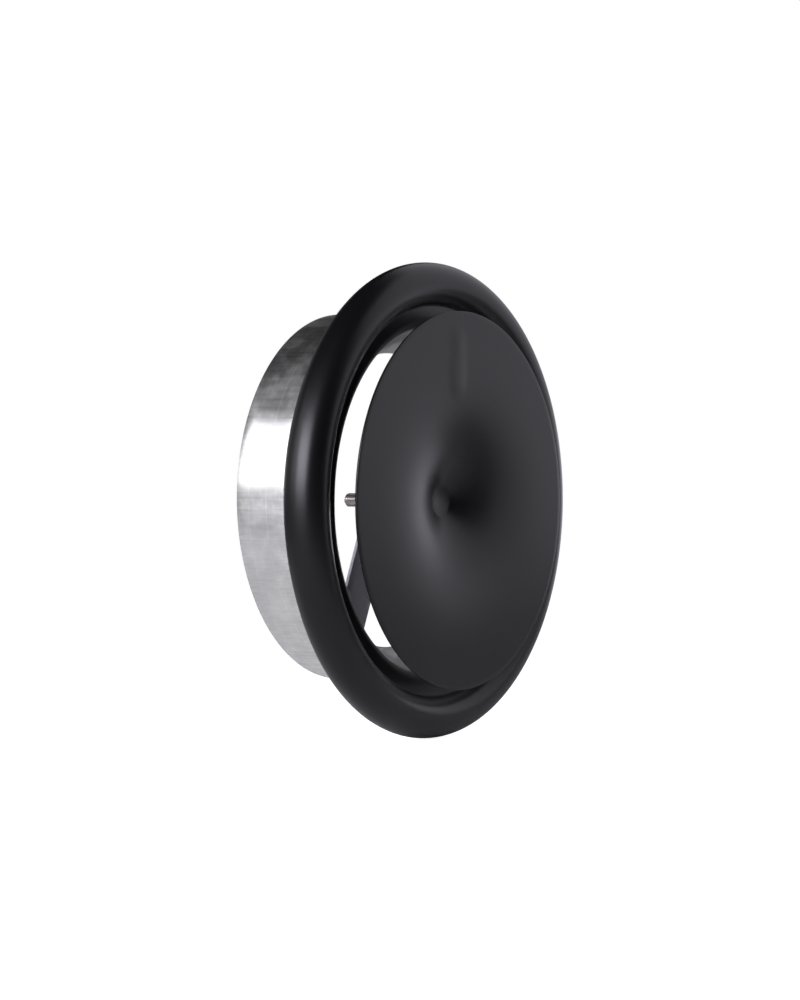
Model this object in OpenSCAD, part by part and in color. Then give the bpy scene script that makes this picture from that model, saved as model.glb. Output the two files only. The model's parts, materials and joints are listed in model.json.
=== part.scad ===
// Metal disc valve for extract air, with its duct mounting frame.
// All profiles are drawn as [radius, height], with height 0 at the wall and positive into the room.
// The valve's axis then lies along Y: the room is at -Y, the duct at +Y, and +Z is up.

/* [Mounting frame] */
// Outside diameter of the sleeve that goes into the duct
sleeve_d = 159; // [150:0.5:170]
// Length of the sleeve behind the wall face
sleeve_length = 34; // [24:0.5:60]
// Sheet thickness of the frame
frame_sheet = 1; // [0.7:0.1:1.5]
// Width of the flange outside the sleeve
flange_width = 7.5; // [6:0.5:8]
// Outer bend radius between the flange and the sleeve
frame_bend = 1.4; // [1.2:0.1:2]
// Length of the drawn-in lead at the duct end
lead_length = 6; // [3:0.5:10]
// How much the lead is drawn in on the radius
lead_step = 0.3; // [0.2:0.1:0.8]
// Number of fixing holes in the flange
fixing_count = 3; // [3:1:6]
// Angle of the first fixing hole, from +X towards +Z
fixing_start = 60; // [56:1:90]
// Diameter of a fixing hole
fixing_hole_d = 4.2; // [3:0.1:4.5]
// Reach of a bayonet lug inwards from the sleeve's wall
lug_reach = 8; // [6:0.5:9]
// Width of a bayonet lug, as an angle
lug_angle = 20; // [14:1:26]
// Length of the stop that is bent back from the end of a lug
lug_stop = 4; // [2:0.5:6]

/* [Rim] */
// Gap between the frame's flange and the back land of the roll, on the radius
land_gap = 2; // [1:0.1:4]
// Width of the flat land at the back of the roll
back_land = 3.6; // [2.5:0.1:5]
// Radius of the roll
roll_r = 9.4; // [8:0.1:11]
// Depth of the seat ledge below the top of the roll
seat_depth = 6.2; // [4:0.1:8]
// Fillet between the roll and the seat ledge
seat_fillet = 1.2; // [1.1:0.1:2]
// Width of the flat seat ledge
seat_ledge = 4.05; // [2:0.05:5]
// Radius of the nose that leads the air in
nose_r = 5; // [4:0.1:7]
// Straight length of the nose before the weld flange
nose_land = 2.1; // [0.5:0.1:3]
// Bend radius from the nose to the weld flange
weld_bend = 1.4; // [1.1:0.1:1.8]
// Width of the weld flange outside the nose
weld_flange = 4.2; // [3:0.1:4.5]
// Sheet thickness of the rim
rim_sheet = 0.9; // [0.7:0.1:1.1]

/* [Seal] */
// Width of the foam seal
seal_width = 5; // [3:0.5:5.5]
// Thickness of the foam seal when it is pressed on the wall
seal_thickness = 1.6; // [1.4:0.1:3]

/* [Spigot] */
// How far the bell mouth starts inside the nose
bell_lip = 0.3; // [0.1:0.1:1]
// Radius of the bell mouth
bell_r = 9.4; // [7:0.1:10]
// Straight length of the spigot behind the bell mouth
throat_length = 7; // [6:0.5:12]
// Sheet thickness of the spigot
spigot_sheet = 1; // [0.7:0.1:1.5]

/* [Bayonet feet] */
// Width of a foot, as an angle
foot_angle = 12; // [8:1:14]
// Sheet thickness of a foot
foot_sheet = 1.2; // [1:0.1:1.6]
// Smallest inside bend radius of a foot
foot_inner_bend = 0.8; // [0.4:0.1:1.5]
// How far a foot reaches under its lug
foot_lap = 6; // [4:0.5:6.5]
// Angle of the first foot, from +X towards +Z
foot_start = 36; // [32:1:40]

/* [Bridge] */
// Width of the bridge strap
bridge_width = 19.4; // [17:0.2:24]
// Thickness of the bridge strap
bridge_sheet = 1.5; // [1.2:0.1:2]
// Space between the spigot's end and the strap
bridge_drop = 2.9; // [2.8:0.1:6]
// Outer bend radius of the strap's ends
bridge_bend = 2.6; // [2.2:0.1:3]
// Lean of the strap from the vertical
bridge_lean = 24.3; // [20:0.1:28]
// Distance between the two rivets at one end
rivet_pitch = 10; // [9:0.5:11]
// Shank diameter of a blind rivet
rivet_d = 3.2; // [2.8:0.1:3.6]
// Head diameter of a blind rivet
rivet_head_d = 6; // [5.4:0.1:6.4]
// Head height of a blind rivet
rivet_head_h = 1.1; // [0.8:0.1:1.4]
// Diameter of the set end of a blind rivet
rivet_tail_d = 4.8; // [4.2:0.1:5.4]
// Length of the set end of a blind rivet
rivet_tail_h = 1.3; // [0.8:0.1:2]
// Depth of the hole that the mandrel leaves in the head
rivet_well = 0.6; // [0.3:0.1:0.9]

/* [Spindle and nuts] */
// Outside diameter of the spindle's thread
spindle_d = 6; // [5:0.1:7]
// Length of the spindle's tail behind the lock nut
spindle_tail = 10.6; // [10.2:0.1:30]
// Chamfer at the spindle's tail
spindle_chamfer = 1; // [0.4:0.1:1.5]
// Width across the flats of the nuts
nut_flats = 10; // [9.5:0.5:12]
// Height of the weld nut and of the lock nut
nut_height = 5; // [3:0.1:6]
// Chamfer of the nuts' corners
nut_chamfer = 0.5; // [0.2:0.1:0.9]
// Outside diameter of the weld nut's pilot
pilot_d = 8; // [7.7:0.1:8.6]
// Depth of the pilot in the strap
pilot_h = 1.2; // [0.6:0.1:1.2]
// Outside diameter of the spring washer
washer_d = 11; // [10:0.1:12]
// Thickness of the spring washer
washer_thickness = 1.6; // [1:0.1:2]
// Width of the spring washer's slit
washer_slit = 1; // [0.5:0.1:2]
// Slant of the spring washer's slit
washer_slant = 25; // [0:1:40]

/* [Disc] */
// Gap between the disc's edge and the fillet of the seat, on the radius
seat_gap = 2.15; // [1:0.05:4]
// Opening between the seat ledge and the back of the disc's edge
disc_opening = 12.3; // [12.2:0.1:20]
// Depth of the dish
dish_depth = 11.2; // [8:0.1:11.5]
// Diameter of the flat in the middle
disc_flat_d = 13.6; // [13:0.1:20]
// How fast the dish flattens outwards
dish_power = 3.6; // [2.5:0.1:5]
// Sheet thickness of the disc
disc_sheet = 0.9; // [0.7:0.1:1.2]
// Outside diameter of the boss behind the disc
boss_d = 12; // [10.5:0.5:12.5]
// Length of the boss
boss_length = 5; // [3:0.5:8]

/* [Clearances] */
// Radial clearance of a thread or shaft that turns in its nut or boss
running_clearance = 0.05; // [0.02:0.01:0.1]
// Radial clearance of a rivet or pilot in its hole
hole_clearance = 0.05; // [0.02:0.01:0.1]
// Gap between sheets that are pressed together
lap_gap = 0.05; // [0:0.01:0.1]
// Gap between faces that slide past each other
sliding_gap = 0.3; // [0.2:0.05:0.5]

/* [Hidden] */

$fn = 120;
// Largest turn between two points of an arc
arc_step = 6;
foot_count = 3;
galvanised = [0.72, 0.73, 0.75];
black_coat = [0.12, 0.12, 0.13];
zinc = [0.68, 0.66, 0.62];
foam = [0.2, 0.2, 0.21];

sleeve_r = sleeve_d / 2;
flange_r = sleeve_r + flange_width;
fixing_r = sleeve_r + frame_bend + (flange_width - frame_bend) / 2;
lug_r = sleeve_r - frame_sheet - lug_reach;

land_r = flange_r + land_gap;
roll_centre = [land_r + back_land, seal_thickness + roll_r];
seat_h = roll_centre[1] + roll_r - seat_depth;
fillet_tilt = asin((seat_h + seat_fillet - roll_centre[1]) / (roll_r + seat_fillet));
seat_r = roll_centre[0] - (roll_r + seat_fillet) * cos(fillet_tilt);
nose_centre = [seat_r - seat_ledge, seat_h - nose_r];
nose_inner_r = nose_centre[0] - nose_r;
weld_bend_centre = [nose_inner_r + weld_bend, nose_centre[1] - nose_land];
weld_flange_r = nose_inner_r + weld_flange;

spigot_face = weld_bend_centre[1] - weld_bend;
bell_centre = [nose_inner_r - bell_lip, spigot_face - bell_r];
throat_r = bell_centre[0] - bell_r;
throat_end = bell_centre[1] - throat_length;
throat_outer_r = throat_r + spigot_sheet;

bridge_face = throat_end - bridge_drop;
bridge_back = bridge_face - bridge_sheet;
bridge_leg_r = throat_outer_r + lap_gap;
bridge_angle = 90 - bridge_lean;
rivet_h = (bell_centre[1] + throat_end) / 2;
rivet_turn = asin(rivet_pitch / 2 / throat_outer_r);

foot_front = -sliding_gap;
foot_r = throat_outer_r + lap_gap;
foot_end_r = lug_r + foot_lap;
foot_bend = max(foot_sheet + foot_inner_bend, foot_front - bell_centre[1]);

disc_r = seat_r - seat_gap;
disc_flat_r = disc_flat_d / 2;
disc_height = seat_h + disc_opening + disc_sheet;
disc_flat_h = disc_height - dish_depth;
disc_back = disc_flat_h - disc_sheet;

spindle_r = spindle_d / 2;
threaded_bore_r = spindle_r + running_clearance;
washer_back = bridge_back - washer_thickness;
lock_nut_back = washer_back - lap_gap - nut_height;
spindle_length = disc_back - lock_nut_back + spindle_tail;

// Points along a path are [place, normal]; the sheet lies behind the normal

// Arc from angle a to angle b; side is 1 on the outside of the bend and -1 on the inside
function arc(centre, r, a, b, side = 1) =
    let (steps = max(2, ceil(abs(b - a) / arc_step)))
    [for (i = [0:steps]) let (t = a + (b - a) * i / steps, n = [cos(t), sin(t)]) [centre + r * n, side * n]];

// Path without points that repeat the one before
function clean(path) =
    [for (i = [0:len(path) - 1]) if (i == 0 || norm(path[i][0] - path[i - 1][0]) > 0.001) path[i]];

function far_side(path, t) = [for (i = [len(path) - 1:-1:0]) path[i][0] - t * path[i][1]];

// Section of a sheet of thickness t whose seen face follows the path
module sheet(path, t) {
    seen = clean(path);
    polygon(concat([for (p = seen) p[0]], far_side(seen, t)));
}

// Turns a profile of [radius, height] about the valve's axis and lays the axis along -Y
module turned(angle = 360, start = 0)
    rotate([90, 0, 0]) rotate([0, 0, start]) rotate_extrude(angle = angle) children();

// Places children at a radius, angle and height, with their +Z pointing outwards
module on_wall(r, angle, h)
    rotate([90, 0, 0]) rotate([0, 0, angle]) translate([r, 0, h]) rotate([0, 90, 0]) children();

// Lays children that are drawn along +Z on the valve's axis, from height h into the room
module on_axis(h)
    translate([0, -h, 0]) rotate([90, 0, 0]) children();

function frame_path() = concat(
    [[[flange_r, 0], [0, -1]]],
    arc([sleeve_r + frame_bend, -frame_bend], frame_bend, 90, 180, -1),
    [
        [[sleeve_r, lead_length + lead_step - sleeve_length], [1, 0]],
        [[sleeve_r - lead_step, lead_length - sleeve_length], [1, 0]],
        [[sleeve_r - lead_step, -sleeve_length], [1, 0]]
    ]);

function rim_path() = concat(
    [[[land_r, seal_thickness], [0, -1]]],
    arc(roll_centre, roll_r, -90, 180 - fillet_tilt),
    arc([seat_r, seat_h + seat_fillet], seat_fillet, -fillet_tilt, -90, -1),
    arc(nose_centre, nose_r, 90, 180),
    arc(weld_bend_centre, weld_bend, 180, 270),
    [[[weld_flange_r, spigot_face], [0, -1]]]);

function spigot_path() = concat(
    [[[weld_flange_r, spigot_face - lap_gap], [0, 1]]],
    arc(bell_centre - [0, lap_gap], bell_r, 90, 180),
    [[[throat_r, throat_end], [-1, 0]]]);

// Height and slope of the dish at radius r
function dish_t(r) = 1 - (r - disc_flat_r) / (disc_r - disc_flat_r);
function dish_h(r) = disc_flat_h + dish_depth * (1 - pow(dish_t(r), dish_power));
function dish_slope(r) =
    dish_depth * dish_power * pow(dish_t(r), dish_power - 1) / (disc_r - disc_flat_r);
function upright(slope) = [-slope, 1] / norm([slope, 1]);

dish_steps = 28;
function disc_path() = concat(
    [[[0, disc_flat_h], [0, 1]]],
    [[[disc_flat_r, disc_flat_h], upright(tan(atan(dish_slope(disc_flat_r)) / 2))]],
    [for (i = [1:dish_steps])
        let (r = disc_flat_r + (disc_r - disc_flat_r) * pow(i / dish_steps, 1.5))
        [[r, dish_h(r)], upright(dish_slope(r))]]);

module mounting_frame() {
    color(galvanised) difference() {
        union() {
            turned() sheet(frame_path(), frame_sheet);
            for (i = [0:foot_count - 1]) lug(foot_start + i * 360 / foot_count);
        }
        for (i = [0:fixing_count - 1])
            rotate([90, 0, 0]) rotate([0, 0, fixing_start + i * 360 / fixing_count])
                translate([fixing_r, 0, -frame_sheet]) cylinder(d = fixing_hole_d, h = 3 * frame_sheet);
    }
}

// Inward tongue of the flange that a foot turns under, with its stop bent back at one end
module lug(angle) {
    stop_angle = atan(frame_sheet / lug_r);
    stop_start = -foot_angle / 2 - atan(sliding_gap / lug_r) - stop_angle;
    turned(lug_angle, angle + stop_start)
        translate([lug_r, 0]) square([sleeve_r + frame_bend + frame_sheet - lug_r, frame_sheet]);
    turned(stop_angle, angle + stop_start)
        translate([lug_r, -lug_stop]) square([lug_reach - frame_bend, lug_stop + frame_sheet / 2]);
}

module rim()
    color(black_coat) turned() sheet(rim_path(), rim_sheet);

module rim_seal()
    color(foam) turned() translate([land_r, 0]) square([seal_width, seal_thickness - lap_gap]);

module spigot() {
    color(galvanised) difference() {
        turned() sheet(spigot_path(), spigot_sheet);
        for (angle = rivet_angles()) rivet_hole(angle);
        for (i = [0:foot_count - 1]) rivet_hole(foot_turn(i));
    }
}

function foot_turn(i) = foot_start + i * 360 / foot_count;
function rivet_angles() =
    [for (end = [0, 180], side = [-1, 1]) bridge_angle + end + side * rivet_turn];

module rivet_hole(angle) {
    depth = spigot_sheet + bridge_sheet + foot_sheet;
    on_wall(throat_r - depth, angle, rivet_h) cylinder(d = rivet_d + 2 * hole_clearance, h = 3 * depth);
}

// L-shaped foot: its leg lies on the spigot and its toe reaches under a lug
module bayonet_foot(i) {
    toe = concat(
        [[[foot_end_r, foot_front], [0, 1]]],
        arc([foot_r + foot_bend, foot_front - foot_bend], foot_bend, 90, 180),
        [[[foot_r, throat_end], [-1, 0]]]);
    color(zinc) difference() {
        turned(foot_angle, foot_turn(i) - foot_angle / 2) sheet(toe, foot_sheet);
        rivet_hole(foot_turn(i));
    }
}

// Blind rivet through the spigot's wall and a sheet of thickness t on its outside
module rivet(angle, t) {
    seat = throat_outer_r + 2 * lap_gap + t;
    inside = throat_r - 2 * lap_gap;
    dome_r = (pow(rivet_head_d / 2, 2) / rivet_head_h + rivet_head_h) / 2;
    color(zinc) on_wall(0, angle, rivet_h) {
        translate([0, 0, inside - rivet_tail_h / 2]) cylinder(d = rivet_d, h = seat - inside + rivet_tail_h);
        difference() {
            intersection() {
                translate([0, 0, seat]) cylinder(d = rivet_head_d, h = rivet_head_h);
                translate([0, 0, seat + rivet_head_h - dome_r]) sphere(r = dome_r);
            }
            translate([0, 0, seat + rivet_head_h - rivet_well]) cylinder(d = rivet_d / 2, h = rivet_head_h);
        }
        translate([0, 0, inside - rivet_tail_h]) cylinder(d1 = rivet_d, d2 = rivet_tail_d, h = rivet_tail_h);
    }
}

// Flat strap across the duct whose ends are bent forward on the spigot
module bridge() {
    strap = concat(
        [[[0, bridge_back], [0, -1]]],
        arc([bridge_leg_r + bridge_sheet - bridge_bend, bridge_back + bridge_bend], bridge_bend, -90, 0),
        [[[bridge_leg_r + bridge_sheet, bell_centre[1]], [1, 0]]]);
    reach = bridge_leg_r + 2 * bridge_sheet;
    color(galvanised) difference() {
        intersection() {
            turned() sheet(strap, bridge_sheet);
            rotate([0, -bridge_angle, 0])
                translate([-reach, -spigot_face, -bridge_width / 2])
                    cube([2 * reach, spigot_face - bridge_back + bridge_sheet, bridge_width]);
        }
        on_axis(bridge_back - bridge_sheet)
            cylinder(d = pilot_d + 2 * hole_clearance, h = 3 * bridge_sheet);
        for (angle = rivet_angles()) rivet_hole(angle);
    }
}

// Hexagon with chamfered corners, from 0 up along +Z
module hexagon(flats, h) {
    corner_r = flats / sqrt(3);
    intersection() {
        cylinder(r = corner_r, h = h, $fn = 6);
        rotate_extrude() polygon([
            [0, 0], [corner_r - nut_chamfer, 0], [corner_r, nut_chamfer],
            [corner_r, h - nut_chamfer], [corner_r - nut_chamfer, h], [0, h]]);
    }
}

module threaded_bore(h)
    translate([0, 0, -h / 2]) cylinder(r = threaded_bore_r, h = 2 * h);

// Weld nut on the room side of the strap, with its pilot in the strap's hole
module bridge_nut()
    color(zinc) on_axis(bridge_face) difference() {
        union() {
            hexagon(nut_flats, nut_height);
            translate([0, 0, -pilot_h]) cylinder(d = pilot_d, h = pilot_h + nut_height / 2);
        }
        threaded_bore(nut_height + pilot_h);
    }

// Spring washer with its slanted slit
module lock_washer()
    color(zinc) on_axis(washer_back) difference() {
        cylinder(d = washer_d, h = washer_thickness - lap_gap);
        threaded_bore(washer_thickness);
        rotate([washer_slant, 0, 0])
            translate([0, -washer_slit / 2, -washer_d / 2]) cube([washer_d, washer_slit, washer_d]);
    }

module lock_nut()
    color(zinc) on_axis(lock_nut_back) difference() {
        hexagon(nut_flats, nut_height);
        threaded_bore(nut_height);
    }

// Threaded rod from the back of the disc, chamfered at its tail
module spindle()
    color(zinc) on_axis(disc_back - spindle_length) rotate_extrude() polygon([
        [0, 0], [spindle_r - spindle_chamfer, 0], [spindle_r, spindle_chamfer],
        [spindle_r, spindle_length], [0, spindle_length]]);

module disc_boss()
    color(zinc) on_axis(disc_back - lap_gap - boss_length) difference() {
        cylinder(d = boss_d, h = boss_length);
        threaded_bore(boss_length);
    }

module disc()
    color(black_coat) turned() sheet(disc_path(), disc_sheet);

mounting_frame();
rim();
rim_seal();
spigot();
bayonet_foot(0);  // bayonet_foot_1
bayonet_foot(1);  // bayonet_foot_2
bayonet_foot(2);  // bayonet_foot_3
rivet(foot_turn(0), foot_sheet);  // foot_rivet_1
rivet(foot_turn(1), foot_sheet);  // foot_rivet_2
rivet(foot_turn(2), foot_sheet);  // foot_rivet_3
bridge();
rivet(rivet_angles()[0], bridge_sheet);  // bridge_rivet_1
rivet(rivet_angles()[1], bridge_sheet);  // bridge_rivet_2
rivet(rivet_angles()[2], bridge_sheet);  // bridge_rivet_3
rivet(rivet_angles()[3], bridge_sheet);  // bridge_rivet_4
bridge_nut();
lock_washer();
lock_nut();
spindle();
disc_boss();
disc();
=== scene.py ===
"""Looks of the disc valve: black rim and disc, galvanised frame, spigot and bridge, threaded spindle."""
import json
from math import asin, cos, degrees, pi, radians, sin

import bpy
from mathutils import Matrix, Vector


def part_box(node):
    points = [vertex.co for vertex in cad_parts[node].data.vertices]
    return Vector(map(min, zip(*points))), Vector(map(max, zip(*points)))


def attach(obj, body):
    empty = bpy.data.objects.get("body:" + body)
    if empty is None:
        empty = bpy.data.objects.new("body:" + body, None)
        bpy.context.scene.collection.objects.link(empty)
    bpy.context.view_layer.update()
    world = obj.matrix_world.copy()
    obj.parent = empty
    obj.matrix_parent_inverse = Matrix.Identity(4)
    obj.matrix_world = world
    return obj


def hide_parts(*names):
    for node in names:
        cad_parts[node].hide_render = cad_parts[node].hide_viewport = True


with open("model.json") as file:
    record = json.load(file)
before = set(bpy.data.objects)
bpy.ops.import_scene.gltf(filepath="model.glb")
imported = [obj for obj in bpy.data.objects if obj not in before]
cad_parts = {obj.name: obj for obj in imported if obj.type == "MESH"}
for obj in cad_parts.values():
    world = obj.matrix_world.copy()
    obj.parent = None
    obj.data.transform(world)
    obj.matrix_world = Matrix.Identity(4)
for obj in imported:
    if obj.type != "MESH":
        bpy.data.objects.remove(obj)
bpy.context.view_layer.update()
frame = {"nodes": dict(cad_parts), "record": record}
mm = 0.001


# Drawing and shaping, in edit mode as by hand
# Sections are drawn as radius and height: the axis is Y, height 0 is the wall and the room is at -Y

def deselect():
    if bpy.context.object and bpy.context.object.mode != "OBJECT":
        bpy.ops.object.mode_set(mode="OBJECT")
    bpy.ops.object.select_all(action="DESELECT")


def select(piece):
    deselect()
    piece.select_set(True)
    bpy.context.view_layer.objects.active = piece


class Pen:
    """Draws one section by extruding and spinning its last point."""

    def __init__(self, name, radius, height):
        deselect()
        bpy.ops.mesh.primitive_plane_add(size=mm)
        self.piece = bpy.context.object
        self.piece.name = self.piece.data.name = name
        bpy.ops.object.mode_set(mode="EDIT")
        bpy.ops.mesh.merge(type="CENTER")
        bpy.ops.transform.translate(value=(radius, -height, 0))
        self.at = Vector((radius, height))

    def line(self, radius, height):
        """Straight to a point."""
        step = Vector((radius, height)) - self.at
        bpy.ops.mesh.extrude_region_move(TRANSFORM_OT_translate={"value": (step.x, -step.y, 0)})
        self.at = Vector((radius, height))
        return self

    def arc(self, centre, turn, step=5):
        """Round a centre, by a turn in degrees that is positive from the radius towards the height."""
        bpy.ops.mesh.spin(steps=max(2, round(abs(turn) / step)), angle=radians(turn),
                          center=(centre[0], -centre[1], 0), axis=(0, 0, 1))
        self.at = Vector(centre) + Matrix.Rotation(radians(turn), 2) @ (self.at - Vector(centre))
        return self

    def revolve(self, steps=240):
        """Turns the section about the valve's axis into an open skin."""
        bpy.ops.mesh.select_all(action="SELECT")
        bpy.ops.mesh.spin(steps=steps, angle=2 * pi, center=(0, 0, 0), axis=(0, 1, 0))
        bpy.ops.mesh.select_all(action="SELECT")
        bpy.ops.mesh.remove_doubles(threshold=0.002 * mm)
        bpy.ops.mesh.normals_make_consistent(inside=False)
        bpy.ops.object.mode_set(mode="OBJECT")
        return self.piece


def face_towards(piece, place, direction):
    """Turns the skin so that its face nearest a place looks in a direction."""
    nearest = min(piece.data.polygons, key=lambda face: (face.center - Vector(place)).length)
    if nearest.normal.dot(Vector(direction)) < 0:
        select(piece)
        bpy.ops.object.mode_set(mode="EDIT")
        bpy.ops.mesh.select_all(action="SELECT")
        bpy.ops.mesh.flip_normals()
        bpy.ops.object.mode_set(mode="OBJECT")


def modify(piece, kind, **settings):
    """Adds a modifier and applies it."""
    select(piece)
    modifier = piece.modifiers.new(kind.title(), kind)
    for name, value in settings.items():
        setattr(modifier, name, value)
    bpy.ops.object.modifier_apply(modifier=modifier.name)


def thicken(piece, sheet):
    """Gives a skin its sheet thickness behind the seen side."""
    modify(piece, "SOLIDIFY", thickness=sheet, offset=-1, use_even_offset=True)


def soften(piece, width, angle=50, segments=2):
    """Rounds the sheet's cut edges and smooths the rest."""
    modify(piece, "BEVEL", width=width, segments=segments, limit_method="ANGLE", angle_limit=radians(angle))
    smooth(piece)


def smooth(piece, angle=32):
    select(piece)
    bpy.ops.object.shade_smooth_by_angle(angle=radians(angle))


def cut(piece, tool, operation="DIFFERENCE"):
    """Boolean with a tool that is then thrown away."""
    modify(piece, "BOOLEAN", object=tool, operation=operation, solver="EXACT")
    bpy.data.objects.remove(tool)


def rod(radius, start, end, place, vertices=48):
    """Plain cylinder along Y, as a cutting tool."""
    deselect()
    bpy.ops.mesh.primitive_cylinder_add(
        vertices=vertices, radius=radius, depth=end - start,
        location=(place[0], (start + end) / 2, place[1]), rotation=(radians(90), 0, 0))
    tool = bpy.context.object
    bpy.ops.object.transform_apply(location=True, rotation=True, scale=True)
    return tool


def outward(piece):
    """Points a closed piece's faces outwards."""
    select(piece)
    bpy.ops.object.mode_set(mode="EDIT")
    bpy.ops.mesh.select_all(action="SELECT")
    bpy.ops.mesh.remove_doubles(threshold=0.002 * mm)
    bpy.ops.mesh.normals_make_consistent(inside=False)
    bpy.ops.object.mode_set(mode="OBJECT")


def trim(piece, place, normal, fill=False):
    """Cuts away what lies beyond a plane."""
    select(piece)
    bpy.ops.object.mode_set(mode="EDIT")
    bpy.ops.mesh.select_all(action="SELECT")
    bpy.ops.mesh.bisect(plane_co=place, plane_no=normal, clear_outer=True, use_fill=fill)
    bpy.ops.object.mode_set(mode="OBJECT")


# Sizes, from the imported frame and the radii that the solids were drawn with

rim_low, rim_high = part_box("rim")
spigot_low, spigot_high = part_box("spigot")
frame_low, frame_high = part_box("mounting_frame")
disc_low, disc_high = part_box("disc")
bridge_low, bridge_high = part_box("bridge")
spindle_low, spindle_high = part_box("spindle")
seal_low, seal_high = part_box("rim_seal")

sleeve_r = 79.5 * mm
frame_sheet = 1 * mm
frame_bend = 1.4 * mm
flange_r = sleeve_r + 7.5 * mm
sleeve_end = -frame_high.y
lead_length = 6 * mm
lead_step = 0.1 * mm
frame_rise = 1.4 * mm
fixing_r = sleeve_r + frame_bend + (flange_r - sleeve_r - frame_bend) / 2
lug_r = sleeve_r - frame_sheet - 8 * mm
lug_angle = 20
lug_stop = 4 * mm
foot_start = 36
foot_angle = 12
sliding_gap = 0.3 * mm

rim_sheet = 0.9 * mm
roll_r = 9.4 * mm
rim_back = -rim_high.y
roll = Vector((rim_high.z - roll_r, rim_back + roll_r))
back_land = 3.6 * mm
seat_fillet = 1.2 * mm
seat_h = roll.y + roll_r - 6.2 * mm
fillet_tilt = asin((seat_h + seat_fillet - roll.y) / (roll_r + seat_fillet))
seat_r = roll.x - (roll_r + seat_fillet) * cos(fillet_tilt)
nose_r = 5 * mm
nose = Vector((seat_r - 4.05 * mm, seat_h - nose_r))
nose_inner_r = nose.x - nose_r
weld_bend = 1.4 * mm
weld = Vector((nose_inner_r + weld_bend, nose.y - 2.1 * mm))
weld_flange_r = nose_inner_r + 4.2 * mm

spigot_sheet = 1 * mm
spigot_face = -spigot_low.y
throat_end = -spigot_high.y
throat_r = nose_inner_r - 9.7 * mm
mouth_r = 6.5 * mm
mouth = Vector((nose_inner_r - 0.3 * mm, spigot_face - mouth_r))
funnel_r = throat_r - 0.8 * mm
funnel_tilt = 17.4

bridge_sheet = 1.5 * mm
bridge_bend = 2.6 * mm
bridge_width = 19.4 * mm
bridge_lean = radians(24.3)
bridge_back = -bridge_high.y
bridge_leg_r = throat_r + spigot_sheet + 0.05 * mm
bridge_leg_end = -6 * mm

disc_sheet = 0.9 * mm
disc_r = disc_high.z
disc_h = -disc_low.y
dish_depth = 11.2 * mm
dish_power = 3.6
disc_flat_r = 6.8 * mm

spindle_r = 3 * mm
thread_pitch = 1 * mm
thread_depth = 0.58 * mm


# Pieces

def rim_shell():
    """Pressed rim: roll, seat and nose in one sheet."""
    tilt = degrees(fillet_tilt)
    pen = Pen("rim_shell", roll.x - back_land, rim_back)
    pen.line(roll.x, rim_back).arc(roll, 270 - tilt, 4).arc((seat_r, seat_h + seat_fillet), tilt - 90, 10)
    pen.line(nose.x, seat_h).arc(nose, 90).line(nose_inner_r, weld.y).arc(weld, 90, 15)
    pen.line(weld_flange_r, weld.y - weld_bend)
    piece = pen.revolve()
    face_towards(piece, (rim_high.z, -roll.y, 0), (1, 0, 0))
    thicken(piece, rim_sheet)
    soften(piece, 0.18 * mm)
    return piece


def dish_height(radius):
    t = 1 - (radius - disc_flat_r) / (disc_r - disc_flat_r)
    return disc_h - dish_depth * t ** dish_power


def dished_disc():
    """Dished disc with the small flat that the spindle's boss is fixed behind."""
    pen = Pen("dished_disc", 0, dish_height(disc_flat_r)).line(disc_flat_r, dish_height(disc_flat_r))
    rings = 48
    for ring in range(1, rings + 1):
        radius = disc_flat_r + (disc_r - disc_flat_r) * (ring / rings) ** 1.4
        pen.line(radius, dish_height(radius))
    piece = pen.revolve()
    face_towards(piece, (disc_r / 2, disc_low.y, 0), (0, -1, 0))
    press_mark(piece)
    thicken(piece, disc_sheet)
    soften(piece, 0.25 * mm, segments=3)
    return piece


def press_mark(piece):
    """Soft upright ridge near the top of the disc, left by the press."""
    select(piece)
    bpy.ops.object.mode_set(mode="EDIT")
    bpy.ops.mesh.select_all(action="DESELECT")
    bpy.ops.object.mode_set(mode="OBJECT")
    for vertex in piece.data.vertices:
        vertex.select = abs(vertex.co.x + 3.5 * mm) < 1.2 * mm and 50 * mm < vertex.co.z < 69 * mm
    bpy.ops.object.mode_set(mode="EDIT")
    bpy.ops.transform.translate(value=(0, -0.3 * mm, 0), use_proportional_edit=True,
                                proportional_edit_falloff="SMOOTH", proportional_size=8 * mm)
    bpy.ops.object.mode_set(mode="OBJECT")


def sector(name, corners, start, turn):
    """Closed piece of a ring with a polygonal section, from a start angle through a turn, in degrees from +X to +Z."""
    pen = Pen(name, *corners[0])
    for corner in corners[1:]:
        pen.line(*corner)
    bpy.ops.mesh.select_all(action="SELECT")
    bpy.ops.mesh.edge_face_add()
    bpy.ops.transform.rotate(value=radians(start), orient_axis="Y", orient_type="GLOBAL", center_override=(0, 0, 0))
    bpy.ops.mesh.spin(steps=16, angle=radians(turn), center=(0, 0, 0), axis=(0, 1, 0))
    bpy.ops.object.mode_set(mode="OBJECT")
    outward(pen.piece)
    return pen.piece


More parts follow.
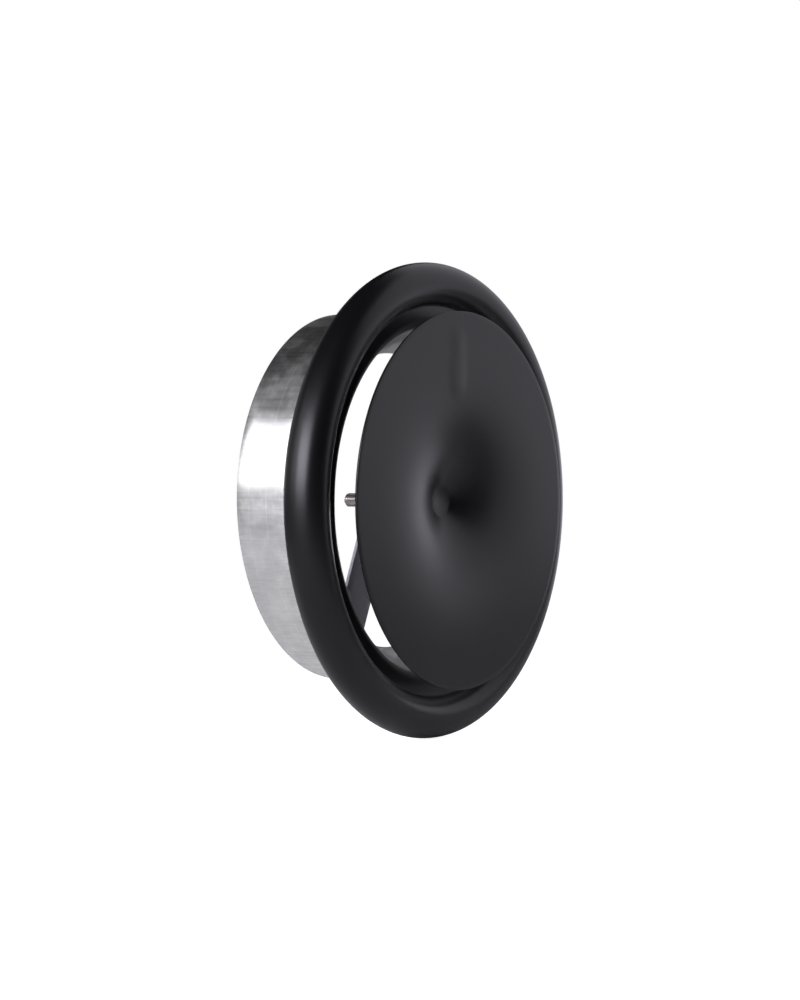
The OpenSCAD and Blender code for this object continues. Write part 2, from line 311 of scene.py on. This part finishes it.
def frame_sleeve():
    """Galvanised sleeve with its flange, lead, lugs and holes; it hangs a little high, as in the photograph."""
    bend = Vector((sleeve_r + frame_bend, -frame_bend))
    pen = Pen("frame_sleeve", flange_r, 0).line(bend.x, 0).arc(bend, 90, 10)
    pen.line(sleeve_r, sleeve_end + lead_length + lead_step).line(sleeve_r - lead_step, sleeve_end + lead_length)
    pen.line(sleeve_r - lead_step, sleeve_end)
    piece = pen.revolve(288)
    face_towards(piece, (sleeve_r, frame_high.y / 2, 0), (1, 0, 0))
    thicken(piece, frame_sheet)
    flange_face = bend.x + frame_sheet
    for number in range(3):
        foot = foot_start + 120 * number
        stop = foot - foot_angle / 2 - degrees((sliding_gap + frame_sheet) / lug_r)
        cut(piece, sector("lug", ((lug_r, 0), (flange_face, 0), (flange_face, frame_sheet), (lug_r, frame_sheet)),
                          stop, lug_angle), "UNION")
        cut(piece, sector("lug_stop", ((lug_r, -lug_stop), (sleeve_r - frame_sheet - frame_bend, -lug_stop),
                                       (sleeve_r - frame_sheet - frame_bend, frame_sheet / 2), (lug_r, frame_sheet / 2)),
                          stop, degrees(frame_sheet / lug_r)), "UNION")
        turn = radians(60 + 120 * number)
        cut(piece, rod(2.1 * mm, -3 * mm, 3 * mm, (fixing_r * cos(turn), fixing_r * sin(turn))))
    soften(piece, 0.15 * mm)
    bpy.ops.transform.translate(value=(0, 0, frame_rise))
    bpy.ops.object.transform_apply(location=True)
    return piece


def spigot_bell():
    """Bell mouth behind the nose, which narrows to the duct's end as a funnel."""
    pen = Pen("spigot_bell", weld_flange_r, spigot_face).line(mouth.x, spigot_face).arc(mouth, 90 - funnel_tilt, 4)
    pen.line(funnel_r, throat_end)
    piece = pen.revolve()
    face_towards(piece, (funnel_r, spigot_high.y - 3 * mm, 0), (-1, 0, 0))
    thicken(piece, spigot_sheet)
    soften(piece, 0.2 * mm)
    return piece


def bridge_strap():
    """Flat strap with its ends bent forward on the spigot, cut from a turned skin."""
    outer_r = bridge_leg_r + bridge_sheet
    bend = Vector((outer_r - bridge_bend, bridge_back + bridge_bend))
    pen = Pen("bridge_strap", 4.05 * mm, bridge_back).line(bend.x, bridge_back).arc(bend, 90, 10)
    pen.line(outer_r, bridge_leg_end)
    piece = pen.revolve(360)
    face_towards(piece, (outer_r, -bridge_leg_end, 0), (1, 0, 0))
    across = Vector((cos(bridge_lean), 0, -sin(bridge_lean)))
    for side in (-1, 1):
        trim(piece, side * bridge_width / 2 * across, side * across)
    thicken(piece, bridge_sheet)
    soften(piece, 0.35 * mm, segments=3)
    return piece


def threaded_spindle():
    """Rod with a right-hand thread, trimmed to length and chamfered at its tail."""
    start, end = spindle_low.y, spindle_high.y
    root_r = spindle_r - thread_depth
    turns = round((end - start) / thread_pitch) + 4
    first = -start + 2 * thread_pitch
    pen = Pen("threaded_spindle", root_r, first)
    for radius, share in ((root_r, 0.1), (spindle_r, 0.45), (spindle_r, 0.6), (root_r, 0.95), (root_r, 1)):
        pen.line(radius, first - share * thread_pitch)
    piece = pen.piece
    modify(piece, "SCREW", axis="Y", screw_offset=thread_pitch, angle=2 * pi, steps=36, render_steps=36,
           iterations=turns, use_merge_vertices=True, merge_threshold=0.01 * mm)
    trim(piece, (0, start, 0), (0, -1, 0), fill=True)
    trim(piece, (0, end, 0), (0, 1, 0), fill=True)
    outward(piece)
    bar = Pen("chamfered_bar", 0, -start).line(spindle_r + mm, -start)
    bar.line(spindle_r + mm, -end + 2 * mm).line(spindle_r, -end + 0.9 * mm).line(spindle_r - 0.9 * mm, -end).line(0, -end)
    cut(piece, bar.revolve(72), "INTERSECT")
    soften(piece, 0.05 * mm, segments=1)
    return piece


def foam_seal():
    """Foam strip behind the rim, a little rounded where it bulges."""
    pen = Pen("foam_seal", seal_high.z - 5 * mm, 0).line(seal_high.z, 0)
    pen.line(seal_high.z, -seal_low.y).line(seal_high.z - 5 * mm, -seal_low.y).line(seal_high.z - 5 * mm, 0)
    piece = pen.revolve(180)
    outward(piece)
    soften(piece, 0.45 * mm, segments=3)
    return piece


# Finishes

class Value:
    """A socket that can be used in a Python expression; each operator adds a Math node."""

    def __init__(self, finish, socket):
        self.finish, self.socket = finish, socket

    def math(self, operation, *others):
        return self.finish.add("ShaderNodeMath", {"operation": operation}, {0: self, **dict(enumerate(others, 1))})

    def flipped(self, operation, other):
        return self.finish.add("ShaderNodeMath", {"operation": operation}, {0: other, 1: self})

    def __add__(self, other): return self.math("ADD", other)
    def __radd__(self, other): return self.math("ADD", other)
    def __sub__(self, other): return self.math("SUBTRACT", other)
    def __rsub__(self, other): return self.flipped("SUBTRACT", other)
    def __mul__(self, other): return self.math("MULTIPLY", other)
    def __rmul__(self, other): return self.math("MULTIPLY", other)
    def __truediv__(self, other): return self.math("DIVIDE", other)
    def __rtruediv__(self, other): return self.flipped("DIVIDE", other)
    def __pow__(self, other): return self.math("POWER", other)
    def __neg__(self): return self.math("MULTIPLY", -1)


class Finish:
    """Builds one node tree."""

    def __init__(self, tree):
        self.tree = tree
        tree.nodes.clear()

    def add(self, kind, settings=None, sockets=None, output=0):
        """Adds a node: its settings first, then the values or links of its sockets."""
        node = self.tree.nodes.new(kind)
        for name, value in (settings or {}).items():
            if name == "stops":
                ramp = node.color_ramp.elements
                while len(ramp) < len(value):
                    ramp.new(0.5)
                for stop, (place, colour) in zip(ramp, value):
                    stop.position, stop.color = place, colour
            else:
                setattr(node, name, value)
        for name, value in (sockets or {}).items():
            if isinstance(value, Value):
                self.tree.links.new(value.socket, node.inputs[name])
            else:
                node.inputs[name].default_value = value
        return Value(self, node.outputs[output]) if len(node.outputs) else node


def material(name):
    """New material and its tree."""
    made = bpy.data.materials.new(name)
    made.use_nodes = True
    return made, Finish(made.node_tree)


def wear(made, piece, body, slot, *nodes):
    """Puts a finish on a new piece and hangs it on its body."""
    piece.data.materials.clear()
    piece.data.materials.append(made)
    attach(piece, body)
    if nodes:
        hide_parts(*nodes)


def stretched(finish, scale):
    """Object coordinates, stretched for a pattern."""
    place = finish.add("ShaderNodeTexCoord", output=3)
    return finish.add("ShaderNodeMapping", {}, {0: place, "Scale": scale})


def noise(finish, place, scale, detail=3, roughness=0.55):
    return finish.add("ShaderNodeTexNoise", {}, {"Vector": place, "Scale": scale, "Detail": detail, "Roughness": roughness})


def between(finish, share, low, high):
    """Mixes two colours by a share."""
    return finish.add("ShaderNodeMix", {"data_type": "RGBA", "clamp_factor": True},
                      {0: share, 6: low, 7: high}, output=2)


def ramp(finish, value, start, end, low=0.0, high=1.0):
    """Smooth step of a value from start to end."""
    return finish.add("ShaderNodeMapRange", {"interpolation_type": "SMOOTHSTEP"},
                      {0: value, 1: start, 2: end, 3: low, 4: high})


def bump(finish, height, distance, strength=1.0):
    return finish.add("ShaderNodeBump", {}, {"Height": height, "Distance": distance, "Strength": strength})


def principled(finish, **sockets):
    """Principled shader with the given sockets."""
    names = {"colour": "Base Color", "roughness": "Roughness", "metallic": "Metallic", "normal": "Normal",
             "ior": "IOR", "coat": "Coat Weight", "coat_roughness": "Coat Roughness"}
    return finish.add("ShaderNodeBsdfPrincipled", {}, {names[key]: value for key, value in sockets.items()})


def surface(finish, **sockets):
    finish.add("ShaderNodeOutputMaterial", {}, {"Surface": principled(finish, **sockets)})


def black_powder_coat():
    """Satin black powder coat: fine orange peel, slightly uneven gloss."""
    made, finish = material("black_powder_coat")
    place = finish.add("ShaderNodeTexCoord", output=3)
    peel = noise(finish, place, 900, 2)
    grain = noise(finish, place, 3200, 2)
    cloud = noise(finish, place, 28, 3)
    colour = between(finish, cloud, (0.003, 0.003, 0.0033, 1), (0.0045, 0.0045, 0.005, 1))
    surface(finish, colour=colour, roughness=0.28 + 0.06 * cloud + 0.05 * grain, ior=1.45,
            normal=bump(finish, peel + 0.35 * grain, 0.02 * mm, 0.35))
    return made


def bright_galvanised():
    """Bright rolled zinc of the sleeve: turned lines round it, drawn streaks along it, two scribed lines, mottling."""
    made, finish = material("bright_galvanised")
    place = finish.add("ShaderNodeTexCoord", output=3)
    depth = finish.add("ShaderNodeSeparateXYZ", {}, {0: place}, output=1)
    turned = noise(finish, stretched(finish, (14, 1500, 14)), 1, 4, 0.7)
    drawn = noise(finish, stretched(finish, (700, 30, 700)), 1, 3)
    mottle = ramp(finish, noise(finish, place, 75, 6, 0.68), 0.36, 0.7)
    scribes = 0
    for line, strength in ((sleeve_end + lead_length, 0.5), (sleeve_end + 15 * mm, 1)):
        scribes = scribes + strength * ramp(finish, (depth + line).math("ABSOLUTE"), 0.1 * mm, 0.5 * mm, 1.0, 0.0)
    colour = between(finish, 0.5 * turned + 0.6 * mottle - 0.3 * scribes,
                     (0.80, 0.80, 0.76, 1), (0.98, 0.99, 0.94, 1))
    relief = bump(finish, turned + 0.4 * drawn + 1.2 * mottle, 0.03 * mm, 0.4)
    sharp = principled(finish, colour=colour, metallic=1.0, roughness=0.11 + 0.1 * turned + 0.04 * mottle,
                       normal=relief)
    hazy = principled(finish, colour=colour, metallic=1.0, roughness=0.4 + 0.1 * mottle, normal=relief)
    share = 0.22 + 0.4 * drawn + 0.12 * mottle + 0.12 * scribes
    finish.add("ShaderNodeOutputMaterial", {}, {
        "Surface": finish.add("ShaderNodeMixShader", {}, {0: share, 1: sharp, 2: hazy})})
    return made


def satin_galvanised():
    """Duller zinc of the spigot and bridge, with faint spangle."""
    made, finish = material("satin_galvanised")
    place = finish.add("ShaderNodeTexCoord", output=3)
    spangle = finish.add("ShaderNodeTexVoronoi", {}, {"Vector": place, "Scale": 260.0}, output=0)
    grain = noise(finish, place, 1500, 2)
    cloud = noise(finish, place, 60, 3)
    colour = between(finish, cloud, (0.76, 0.76, 0.74, 1), (0.90, 0.90, 0.88, 1))
    surface(finish, colour=colour, metallic=1.0,
            roughness=0.36 + 0.08 * cloud + 0.08 * spangle,
            normal=bump(finish, grain, 0.03 * mm, 0.4))
    return made


def dull_galvanised():
    """Matt, pale zinc of the bridge, with a fine grain."""
    made, finish = material("dull_galvanised")
    place = finish.add("ShaderNodeTexCoord", output=3)
    grain = noise(finish, place, 1900, 3)
    cloud = noise(finish, place, 60, 3)
    colour = between(finish, 0.5 * cloud + 0.5 * grain, (0.80, 0.80, 0.84, 1), (0.95, 0.95, 1.0, 1))
    surface(finish, colour=colour, metallic=0.35, roughness=0.5 + 0.1 * cloud,
            normal=bump(finish, grain, 0.03 * mm, 0.4))
    return made


def zinc_plate():
    """Plated steel of the spindle, nuts, feet and rivets, a little warm."""
    made, finish = material("zinc_plate")
    place = finish.add("ShaderNodeTexCoord", output=3)
    grain = noise(finish, place, 1100, 3)
    cloud = noise(finish, place, 120, 3)
    colour = between(finish, cloud, (0.60, 0.56, 0.51, 1), (0.74, 0.70, 0.65, 1))
    surface(finish, colour=colour, metallic=1.0, roughness=0.24 + 0.14 * cloud + 0.05 * grain,
            normal=bump(finish, grain, 0.02 * mm, 0.3))
    return made


def black_foam():
    """Closed-cell foam of the seal."""
    made, finish = material("black_foam")
    place = finish.add("ShaderNodeTexCoord", output=3)
    cells = finish.add("ShaderNodeTexVoronoi", {}, {"Vector": place, "Scale": 1800.0}, output=0)
    cloud = noise(finish, place, 200, 2)
    colour = between(finish, cells, (0.035, 0.035, 0.038, 1), (0.012, 0.012, 0.013, 1))
    surface(finish, colour=colour, roughness=0.85 + 0.1 * cloud, normal=bump(finish, cells, 0.15 * mm, 0.7))
    return made


black = black_powder_coat()
bright_zinc = bright_galvanised()
satin_zinc = satin_galvanised()
dull_zinc = dull_galvanised()
plated = zinc_plate()
foam = black_foam()

for name, node in frame["nodes"].items():
    slot = next(part["material_slot"] for part in frame["record"]["subparts"] if part["node"] == name)
    node.data.materials.clear()
    node.data.materials.append({"galvanised_frame": bright_zinc, "galvanised_sheet": satin_zinc,
                                "zinc_plate": plated, "black_coat": black, "foam": foam}[slot])

wear(black, rim_shell(), "valve", "black_coat", "rim")
wear(black, dished_disc(), "disc", "black_coat", "disc")
wear(bright_zinc, frame_sleeve(), "frame", "galvanised_frame", "mounting_frame")
wear(satin_zinc, spigot_bell(), "valve", "galvanised_sheet", "spigot")
wear(dull_zinc, bridge_strap(), "valve", "galvanised_sheet", "bridge")
wear(plated, threaded_spindle(), "disc", "zinc_plate", "spindle")
wear(foam, foam_seal(), "valve", "foam", "rim_seal")


# Studio: dark room with a large soft box at the left, its dimmer wing behind it and a wide pale wall at the right

def rays(finish):
    """Shares of the rays that come from the camera or through glass, and of those that a surface reflects."""
    seen, glossy, through = (finish.add("ShaderNodeLightPath", output=output) for output in (0, 3, 6))
    return seen + through, glossy


def studio():
    """White for the camera, and for reflections where the camera looks; dark elsewhere, with a grey wall behind."""
    world = bpy.data.worlds.new("studio")
    bpy.context.scene.world = world
    world.use_nodes = True
    sky = Finish(world.node_tree)
    towards = sky.add("ShaderNodeTexCoord")
    x, y, z = (sky.add("ShaderNodeSeparateXYZ", {}, {0: towards}, output=axis) for axis in range(3))
    white, glossy = rays(sky)
    backdrop = ramp(sky, -camera_side.x * x - camera_side.y * y - camera_side.z * z, 0.975, 0.99)
    wall = ramp(sky, y * 0.99 - x * 0.1, 0.5, 0.85) * ramp(sky, z, 0.25, 0.5, 1.0, 0.0)
    white = white + backdrop_shine * glossy * backdrop
    background = sky.add("ShaderNodeBackground", {}, {
        "Color": (1, 1, 1, 1), "Strength": white + (1 - white) * (dark_room + grey_wall * wall)})
    sky.add("ShaderNodeOutputWorld", {}, {"Surface": background})


def soft_box(name, distance, turn, lift, width, height, radiance):
    """Rectangular lamp that looks at the valve; turn is its angle from -X towards the room and lift its height angle."""
    deselect()
    bpy.ops.object.light_add(type="AREA")
    lamp = bpy.context.object
    lamp.name = name
    lamp.data.shape, lamp.data.size, lamp.data.size_y = "RECTANGLE", width, height
    lamp.data.energy = radiance * pi * width * height
    lamp.data.color = cool_white
    lamp.visible_camera = False
    turn, lift = radians(turn), radians(lift)
    place = distance * Vector((-cos(turn) * cos(lift), -sin(turn) * cos(lift), sin(lift)))
    lamp.matrix_world = Matrix.Translation(place) @ place.to_track_quat("Z", "Y").to_matrix().to_4x4()
    return lamp


def floor():
    """Matt floor, pale near the valve and darker farther off as painted shade, which shows the valve's shadow near it
    and is white for the camera farther off.
    """
    deselect()
    bpy.ops.mesh.primitive_plane_add(size=40, location=(0, 0, floor_z))
    piece = bpy.context.object
    piece.name = "floor"
    bpy.ops.object.transform_apply(location=True)
    made, finish = material("pale_floor")
    place = finish.add("ShaderNodeTexCoord", output=3)
    x, y = (finish.add("ShaderNodeSeparateXYZ", {}, {0: place}, output=axis) for axis in range(2))
    cloud = noise(finish, place, 3, 2)
    white, glossy = rays(finish)
    far = ramp(finish, (x * x + y * y) ** 0.5, 0.24, 0.5)
    # painted shade: the matt colour darkens from 0.84 near the valve to 0.30 beyond half a metre, which the metal
    # shows in its reflections
    matt = finish.add("ShaderNodeBsdfDiffuse", {}, {
        "Color": between(finish, far + 0.05 * cloud, (0.84, 0.84, 0.84, 1), (0.30, 0.30, 0.30, 1))})
    glow = finish.add("ShaderNodeEmission", {}, {"Color": (1, 1, 1, 1), "Strength": white * (0.92 + 0.08 * far)})
    both = finish.add("ShaderNodeAddShader", {}, {0: matt, 1: glow})
    finish.add("ShaderNodeOutputMaterial", {}, {"Surface": both})
    piece.data.materials.append(made)


def camera():
    """Long lens, 56.6 degrees to the left of the valve's front."""
    right = Vector((cos(camera_azimuth), sin(camera_azimuth), 0))
    up = camera_side.cross(right)
    place = Vector((0, -11 * mm, 0)) + camera_distance * camera_side - 13.136 * mm * right + 0.138 * mm * up
    turned_right = right * cos(camera_roll) + up * sin(camera_roll)
    turned_up = up * cos(camera_roll) - right * sin(camera_roll)
    deselect()
    bpy.ops.object.camera_add()
    made = bpy.context.object
    made.data.sensor_fit, made.data.sensor_height, made.data.lens = "VERTICAL", 36, 125.8
    turn = Matrix((turned_right, turned_up, camera_side)).transposed()
    made.matrix_world = Matrix.Translation(place) @ turn.to_4x4()
    bpy.context.scene.camera = made


camera_azimuth, camera_elevation, camera_roll = radians(-56.6), radians(0.388), radians(0.122)
camera_distance = 1500 * mm
camera_side = Vector((sin(camera_azimuth) * cos(camera_elevation),
                      -cos(camera_azimuth) * cos(camera_elevation), sin(camera_elevation)))
dark_room = 0.006
grey_wall = 0.3
backdrop_shine = 0.05
cool_white = (0.91, 0.90, 1.0)
floor_z = rim_low.z - 0.5 * mm
studio()
soft_box("left_box", 1.8, 1.2, 19, 1.55, 0.83, 10.2)
soft_box("left_wing", 1.8, -39.5, 20.4, 1.0, 1.0, 1.7)
soft_box("right_panel", 0.6, 160, 29, 1.0, 0.78, 0.78)
soft_box("right_window", 0.62, 176, -2.5, 0.34, 0.18, 1.0)
floor()
camera()
bpy.context.scene.view_settings.view_transform = "Standard"
